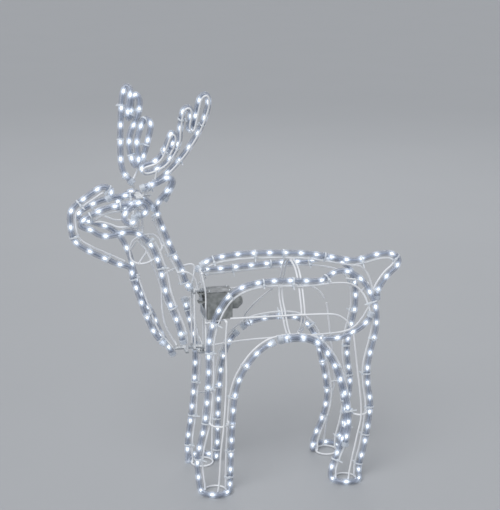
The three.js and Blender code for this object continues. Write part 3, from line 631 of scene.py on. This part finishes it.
def antler_plane(side, points):
    return np.array([(x, side * (ANTLER_Y + LEAN * max(0.0, z - LEAN_FROM_Z)), z) for x, z in points])


for label, side, foot_x, strut in ANTLER_FRAMES:
    rope_line = resample(centre_line(f"rope_antler_{label}", CAD_ROPE_SIDES), ANTLER_STEP) - SHIFT
    if rope_line[0][2] > rope_line[-1][2]:
        rope_line = rope_line[::-1]
    outside = antler_plane(side, [(x, z) for x, _, z in rope_line])
    wires(f"antler_wire_{label}", "neck_head", [
        (np.vstack([[(foot_x, side * ANTLER_Y, ANTLER_FOOT_Z)], outside]) + SHIFT, False),
        (antler_plane(side, strut) + SHIFT, False),
    ], f"antler_frame_{label}")

# ------------------------------------------------------------------ rope light
ropes = {
    "body": ["rope_side_near", "rope_side_far", "rope_fore_far", "rope_spine", "rope_haunch",
             "rope_thigh_near"],
    "neck_head": ["rope_ear_nape", "rope_ear_far", "rope_face_near", "rope_profile", "rope_face_far",
                  "rope_antler_far", "rope_antler_near", "rope_eye_near", "rope_eye_far"],
}
rope_lines = {"body": [], "neck_head": []}
LAMP_PROFILE = [(-3.9, 0.0), (-3.8, 0.8), (-3.2, 1.6), (-2.2, 2.1), (-0.8, 2.25),
                (0.8, 2.25), (2.2, 2.1), (3.2, 1.6), (3.8, 0.8), (3.9, 0.0)]
FIRST_LAMP_SPREAD = 4  # how far the lamps of a rope may be shifted along it, either way
END_CLEAR = 5  # no lamp sits nearer to a rope end

for body, names in ropes.items():
    cores, lamps = Build(), Build()
    for node in names:
        line = resample(centre_line(node, CAD_ROPE_SIDES), ROPE_STEP)
        total = arc_length(line)[-1]
        start = rng.uniform(-FIRST_LAMP_SPREAD, FIRST_LAMP_SPREAD)
        jacket = Build()
        jacket.tube(line, ROPE_RADIUS, ROPE_SIDES, False, start)
        place(jacket.object(node.replace("rope", "jacket"), JACKET), body, "rope_light", node)
        cores.tube(line, CORE_RADIUS, DETAIL_SIDES, False, start)
        mark = LAMP_PITCH / 2 - start
        while mark < total - END_CLEAR:
            if mark > END_CLEAR:
                centre, ahead = point_at(line, mark)
                lamps.revolve(centre, ahead, LAMP_PROFILE, DETAIL_SIDES)
            mark += LAMP_PITCH
        rope_lines[body].append(line)
    place(cores.object(f"rope_cores_{body}", CORE), body, "rope_light")
    place(lamps.object(f"rope_lamps_{body}", LAMP), body, "rope_light")

# ------------------------------------------------------------------ ties
TIE_CLEAR = 0.15
TIE_HALF_WIDTH, TIE_THICK = 1.25, 0.75
TIE_HEAD = (4.2, 4.0, 3.0)
TAIL_HALF_WIDTH, TAIL_HALF_THICK = 1.05, 0.45
TIE_SPACING = 62.0
TIE_JITTER = 14
TIE_FIRST = 16.0
TIE_LAST = 10
TIE_RETRY = 6.0
TIE_REACH = (7.0, 12.0)  # how far the wire may be from the rope, square to it
TIE_GAP = 12.5
TIE_LOWEST = 24.0


def tie(made, point, tangent, target):
    """A cable tie round a rope and the wire beside it, with its head and a short tail."""
    reach = target - point
    reach = reach - tangent * reach.dot(tangent)
    distance = np.linalg.norm(reach)
    n = reach / distance
    b = np.cross(tangent, n)
    big, small = ROPE_RADIUS + TIE_CLEAR, WIRE_RADIUS + TIE_CLEAR
    alpha = math.acos((big - small) / distance)
    outline = []
    for angle in np.linspace(alpha, 2 * math.pi - alpha, 16):
        outline.append((np.zeros(2), angle, big))
    for angle in np.linspace(-alpha, alpha, 7):
        outline.append((np.array([distance, 0.0]), angle, small))
    w0, w1 = -TIE_HALF_WIDTH, TIE_HALF_WIDTH
    verts = []
    for centre, angle, radius in outline:
        outer = radius + TIE_THICK
        for r, w in ((radius, w0), (radius, w1), (outer, w1), (outer, w0)):
            x = centre[0] + r * math.cos(angle)
            y = centre[1] + r * math.sin(angle)
            verts.append(point + n * x + b * y + tangent * w)
    faces = []
    count = len(outline)
    for i in range(count):
        j = (i + 1) % count
        for k in range(4):
            m = (k + 1) % 4
            faces.append([i * 4 + k, i * 4 + m, j * 4 + m, j * 4 + k])
    made.add(verts, faces)
    turn = 1 if rng.random() < 0.5 else -1
    head = point + n * (distance * 0.45) + b * turn * (big * 0.75 + 1.5)
    out = n * 0.75 + b * turn * 0.25
    made.slab(head, out, tangent, TIE_HEAD, 0.5)
    out = out / np.linalg.norm(out)
    bend = b * turn * rng.uniform(0.0, 0.5) + tangent * rng.uniform(-0.3, 0.3)
    length = rng.uniform(3.5, 9.0)
    tail = [head + out * (2.0 + length * s) + bend * length * s * s * 0.6 for s in np.linspace(0, 1, 5)]
    verts, faces = [], []
    side = tangent * TAIL_HALF_WIDTH
    flat = np.cross(out, tangent) * TAIL_HALF_THICK
    for p in tail:
        verts.extend([p - side - flat, p + side - flat, p + side + flat, p - side + flat])
    for i in range(4):
        for k in range(4):
            m = (k + 1) % 4
            faces.append([i * 4 + k, i * 4 + m, i * 4 + 4 + m, i * 4 + 4 + k])
    faces.append([0, 1, 2, 3])
    faces.append([19, 18, 17, 16])
    made.add(verts, faces)


for body, held in rope_lines.items():
    points = np.vstack(lines[body])
    tree = KDTree(len(points))
    for i, p in enumerate(points):
        tree.insert(p, i)
    tree.balance()
    ties = Build()
    for line in held:
        total = arc_length(line)[-1]
        mark = TIE_FIRST
        while mark < total - TIE_LAST:
            point, tangent = point_at(line, mark)
            target, _, gap = tree.find(point)
            target = np.array(target)
            reach = target - point
            across = np.linalg.norm(reach - tangent * reach.dot(tangent))
            if TIE_REACH[0] < across < TIE_REACH[1] and gap < TIE_GAP and point[2] > TIE_LOWEST:
                tie(ties, point, tangent, target)
                mark += TIE_SPACING + rng.uniform(-TIE_JITTER, TIE_JITTER)
            else:
                mark += TIE_RETRY
    place(ties.object(f"cable_ties_{body}", TIE, smooth=False), body, "cap_plastic")

# ------------------------------------------------------------------ welds
WELD_GAP = 5.0  # two wires are welded where their centre lines come this near
WELD_SPACING = 22
WELDS_PER_PAIR = 6
CLOSEST_TRIED = 400
CROSSING_GAP = 0.8  # nearer than this the bead stands upright
WELD_OVERHANG = 1.5

for body, held in lines.items():
    welds = Build()
    for i, a in enumerate(held):
        for b in held[i + 1:]:
            gaps = np.linalg.norm(a[:, None, :] - b[None, :, :], axis=2)
            taken = []
            for flat in np.argsort(gaps, axis=None)[:CLOSEST_TRIED]:
                p, q = np.unravel_index(flat, gaps.shape)
                if gaps[p, q] > WELD_GAP:
                    break
                middle = (a[p] + b[q]) / 2
                crowded = any(np.linalg.norm(middle - t) < WELD_SPACING for t in taken)
                if crowded or len(taken) >= WELDS_PER_PAIR:
                    continue
                taken.append(middle)
                axis = b[q] - a[p] if gaps[p, q] > CROSSING_GAP else np.array([0.0, 0.0, 1.0])
                axis = axis / np.linalg.norm(axis)
                reach = gaps[p, q] / 2 + WELD_OVERHANG
                # Low beads are kept to their own height, so they reach the floor but hardly dip below it.
                size = min(rng.uniform(2.0, 2.35), middle[2])
                profile = [(-reach, 0.0), (-reach * 0.85, size * 0.55), (-reach * 0.4, size),
                           (0, size * 0.93), (reach * 0.4, size * 1.02),
                           (reach * 0.85, size * 0.5), (reach, 0.0)]
                welds.revolve(middle, axis, profile, DETAIL_SIDES)
    place(welds.object(f"welds_{body}", WIRE), body, "coated_wire")


# ------------------------------------------------------------------ rope ends
CUP_LENGTH = 7.0
CUP_SIDES = 20


def end_cup(made, point, outward):
    """A cup over a rope end: outward points away from the rope."""
    inner_r, outer_r = ROPE_RADIUS + 0.25, ROPE_RADIUS + 1.25
    outside = [(-CUP_LENGTH, inner_r), (-CUP_LENGTH - 0.3, (inner_r + outer_r) / 2), (-CUP_LENGTH, outer_r),
               (0.3, outer_r), (1.3, outer_r - 0.35), (1.8, outer_r - 1.3), (1.9, 0.0)]
    made.revolve(point, outward, outside, CUP_SIDES)
    made.revolve(point, outward, [(0.35, 0.0), (0.35, inner_r), (-CUP_LENGTH, inner_r)], CUP_SIDES)


for body, held in rope_lines.items():
    cups = Build()
    for line in held:
        end_cup(cups, line[0], line[0] - line[2])
        end_cup(cups, line[-1], line[-1] - line[-3])
    hidden = ["rope_cap_nape"] if body == "neck_head" else []
    place(cups.object(f"rope_cups_{body}", CAP), body, "cap_plastic", *hidden)

# ------------------------------------------------------------------ CAD nodes that show
shown = {
    "motor_case": CASE, "motor_lid": LID, "gear_motor": CAN, "crank": ZINC, "link_rod": ACETAL,
    "neck_shaft": ZINC, "post_clip": ZINC, "cable_gland": NYLON_BLACK, "hinge_plate": ZINC,
    "neck_bracket_top": ZINC, "neck_bracket_bottom": ZINC, "crown_bar": ZINC,
}
SOFT_EDGE = {"motor_case": 1.2, "motor_lid": 0.8, "gear_motor": 0.6}
FINE_EDGE = 0.35
for node, look in shown.items():
    shape = NODES[node]
    shape.data.materials.clear()
    shape.data.materials.append(look)
    weld = shape.modifiers.new("join", "WELD")
    weld.merge_threshold = SAME_POINT
    bevel = shape.modifiers.new("edges", "BEVEL")
    bevel.width = SOFT_EDGE.get(node, FINE_EDGE) * MM
    bevel.segments = 2
    bevel.limit_method = "ANGLE"
    bevel.angle_limit = math.radians(40)


SCREW_RADIUS = 2.4
SCREW_INSET = 5
SCREW_SIDES = 16


def lid_screws():
    """Four pan head screws with a round recess, at the corners of the lid."""
    r = SCREW_RADIUS
    profile = [(-1.0, r * 0.5), (-1.0, r), (0.0, r), (r * 0.35, r * 0.93), (r * 0.62, r * 0.66),
               (r * 0.68, r * 0.5), (r * 0.28, r * 0.3), (r * 0.28, 0.0)]
    low, high = (np.array(c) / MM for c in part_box("motor_lid"))
    made = Build()
    for x in (low[0] + SCREW_INSET, high[0] - SCREW_INSET):
        for y in (low[1] + SCREW_INSET, high[1] - SCREW_INSET):
            made.revolve(np.array([x, y, high[2]]), (0, 0, 1), profile, SCREW_SIDES)
    place(made.object("lid_screws", ZINC), "body", "plated_steel")


lid_screws()

# ------------------------------------------------------------------ stage
bpy.ops.mesh.primitive_plane_add(size=30)
floor = bpy.context.object
floor.name = "floor"
floor.data.materials.append(floor_paint())

world = bpy.data.worlds.new("studio")
bpy.context.scene.world = world
world.use_nodes = True
world.node_tree.nodes["Background"].inputs["Color"].default_value = (0.86, 0.89, 0.94, 1)
world.node_tree.nodes["Background"].inputs["Strength"].default_value = 0.55


def soft_light(name, place_at, size, energy, colour=(1, 1, 1)):
    data = bpy.data.lights.new(name, "AREA")
    data.shape = "RECTANGLE"
    data.size, data.size_y = size
    data.energy = energy
    data.color = colour
    made = bpy.data.objects.new(name, data)
    made.location = place_at
    aim = Vector((0, 0, 0.3)) - Vector(place_at)
    made.rotation_euler = aim.to_track_quat("-Z", "Y").to_euler()
    bpy.context.scene.collection.objects.link(made)


soft_light("key", (-1.6, -2.2, 2.4), (1.6, 1.6), 16)
soft_light("rim", (0.8, 2.6, 1.9), (1.8, 1.0), 10)
sun = bpy.data.lights.new("overhead", "SUN")
sun.energy = 1.5
sun.angle = math.radians(40)
overhead = bpy.data.objects.new("overhead", sun)
overhead.rotation_euler = (math.radians(28), math.radians(-24), 0)
bpy.context.scene.collection.objects.link(overhead)

# The product picture sits off the middle of the photograph, and the lens shift follows it.
AZIMUTH, ELEVATION = math.radians(-12.48), math.radians(17.87)
DISTANCE = 2.2438
AIM_X, AIM_Z = -65.2, 345.8
level = math.cos(ELEVATION)
back = Vector((math.sin(AZIMUTH) * level, -math.cos(AZIMUTH) * level, math.sin(ELEVATION)))
aim_point = Vector(((AIM_X + SHIFT[0]) * MM, 0, AIM_Z * MM))
lens = bpy.data.cameras.new("camera")
lens.sensor_width = 36
lens.lens = 92.5835294
lens.shift_x = 0.02254902
lens.shift_y = 0.06862745
camera = bpy.data.objects.new("camera", lens)
camera.location = aim_point + back * DISTANCE
camera.rotation_euler = (-back).to_track_quat("-Z", "Y").to_euler()
bpy.context.scene.collection.objects.link(camera)
bpy.context.scene.camera = camera
bpy.context.scene.view_settings.view_transform = "Standard"
